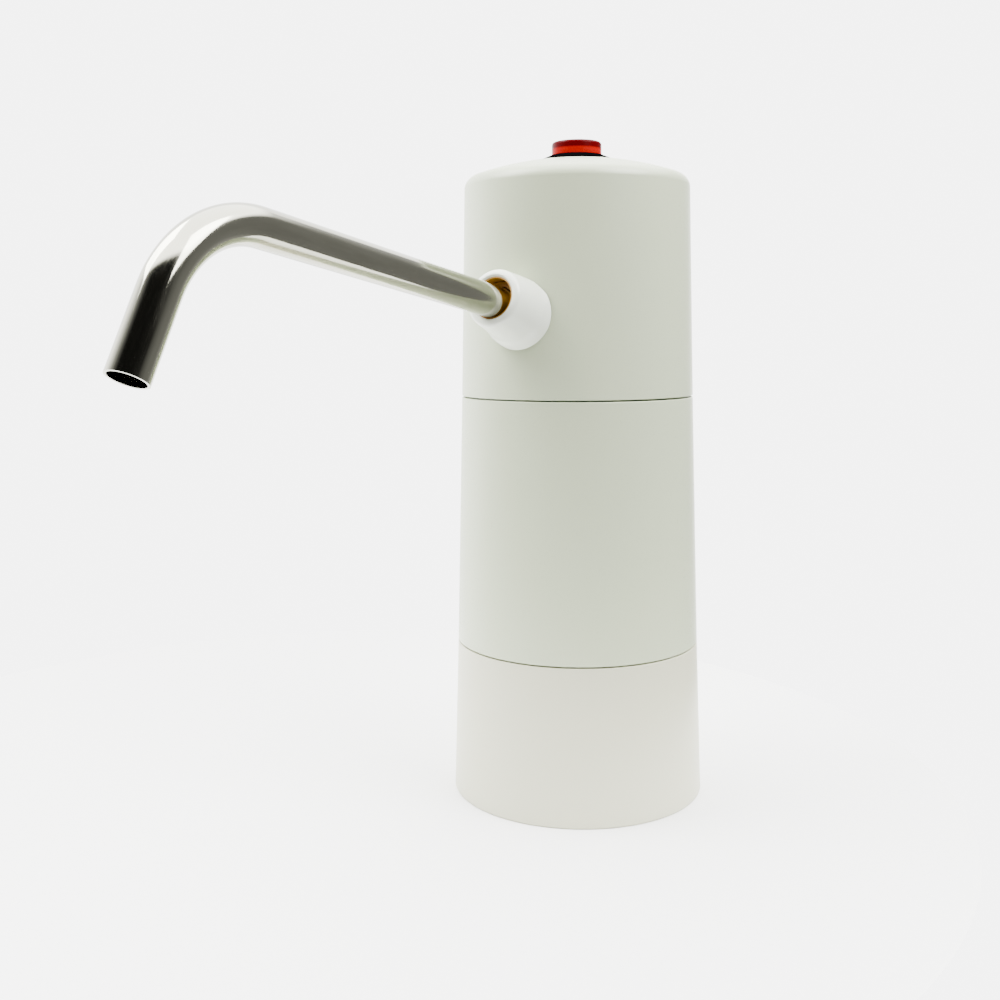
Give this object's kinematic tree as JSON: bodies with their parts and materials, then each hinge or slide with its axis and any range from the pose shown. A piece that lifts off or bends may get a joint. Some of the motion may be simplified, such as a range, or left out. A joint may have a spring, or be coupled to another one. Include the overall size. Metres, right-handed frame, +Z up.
{
  "type": "electric water jug pump",
  "caption": "Tapered white column that sits on a water-jug neck, with a push button on its crown, an inner gear pump and a bent steel spout.",
  "frame": {"origin": "on the column axis, in the plane of the skirt rim that stands on the jug or table", "axes": "+Z up along the column; -Y the way the spout points; +X to the right when looking along +Y"},
  "size_m": [0.08, 0.2242, 0.2072],
  "materials": {
    "cream_plastic": "moulded ABS, cream white, satin gloss",
    "white_plastic": "moulded ABS, cool white, satin gloss",
    "collar_plastic": "moulded ABS, bright white, gloss",
    "grey_plastic": "moulded, plain",
    "black_plastic": "moulded, gloss black",
    "red_lens": "translucent red lens",
    "clear_hose": "milky silicone",
    "amber_rubber": "amber silicone",
    "black_rubber": "black nitrile",
    "grey_rubber": "pale grey silicone",
    "spout_steel": "stainless, satin drawn tube",
    "zinc_steel": "zinc-plated",
    "motor_steel": "plated deep-drawn can",
    "copper": "copper",
    "brass": "machined",
    "nickel": "nickel-plated",
    "ferrite": "dark ferrite",
    "board": "green circuit board",
    "cell_wrap": "shrink wrap"
  },
  "bodies": {
    "column": {"base_skirt": "cream_plastic", "neck_gasket": "grey_rubber", "suction_fitting": "white_plastic", "suction_washer": "black_rubber", "suction_nut": "white_plastic", "tie_rod_1": "zinc_steel", "tie_rod_2": "zinc_steel", "tie_rod_3": "zinc_steel", "mid_housing": "white_plastic", "battery_tray": "grey_plastic", "battery_cell_1": "cell_wrap", "battery_cell_2": "cell_wrap", "cell_band": "grey_plastic", "cell_link": "nickel", "control_board": "board", "charge_socket": "black_plastic", "riser_hose": "clear_hose", "top_housing": "white_plastic", "pump_deck": "grey_plastic", "deck_screw_1": "zinc_steel", "deck_screw_2": "zinc_steel", "deck_screw_3": "zinc_steel", "pump_cover": "grey_plastic", "pump_body": "grey_plastic", "pump_plate": "grey_plastic", "idler_pin": "zinc_steel", "shaft_seal": "black_rubber", "pump_screw_1": "zinc_steel", "pump_screw_2": "zinc_steel", "pump_screw_3": "zinc_steel", "pump_screw_4": "zinc_steel", "motor_can": "motor_steel", "front_bush": "brass", "magnet_1": "ferrite", "magnet_2": "ferrite", "end_cap": "black_plastic", "brush_1": "copper", "brush_2": "copper", "outlet_hose": "clear_hose", "spout_holder": "grey_plastic", "holder_screw_1": "zinc_steel", "holder_screw_2": "zinc_steel", "spout_o_ring": "black_rubber", "spout_gland": "amber_rubber", "spout_collar": "collar_plastic", "button_bezel": "black_plastic", "switch_spring": "nickel", "switch_base": "black_plastic", "switch_terminal_1": "nickel", "switch_terminal_2": "nickel", "switch_washer": "zinc_steel", "switch_nut": "black_plastic"},
    "spout": {"spout_tube": "spout_steel"},
    "button": {"button_cap": "red_lens", "switch_plunger": "black_plastic", "contact_bridge": "copper"},
    "rotor": {"armature": "copper", "motor_shaft": "zinc_steel", "drive_gear": "brass"},
    "driven": {"driven_gear": "brass"}
  },
  "joints": [
    {"name": "spout_swivel", "type": "hinge", "parent": "column", "child": "spout", "pos_m": [0, -0.02966, 0.15296], "axis": [0, -0.9887, 0.1502], "range_deg": [-90, 90]},
    {"name": "button_press", "type": "slide", "parent": "column", "child": "button", "axis": [0, 0, -1], "range_m": [0, 0.0016], "stiffness_N_per_m": 400, "springref_m": -0.003, "deforming": ["switch_spring"]},
    {"name": "motor_spin", "type": "hinge", "parent": "column", "child": "rotor", "pos_m": [0, 0.017, 0.13], "axis": [0, 0, 1], "continuous": true},
    {"name": "driven_gear_spin", "type": "hinge", "parent": "column", "child": "driven", "pos_m": [0, 0.007, 0.13], "axis": [0, 0, 1], "continuous": true}
  ],
  "couplings": [
    {"joint": "driven_gear_spin", "follows": "motor_spin", "ratio": -1}
  ]
}
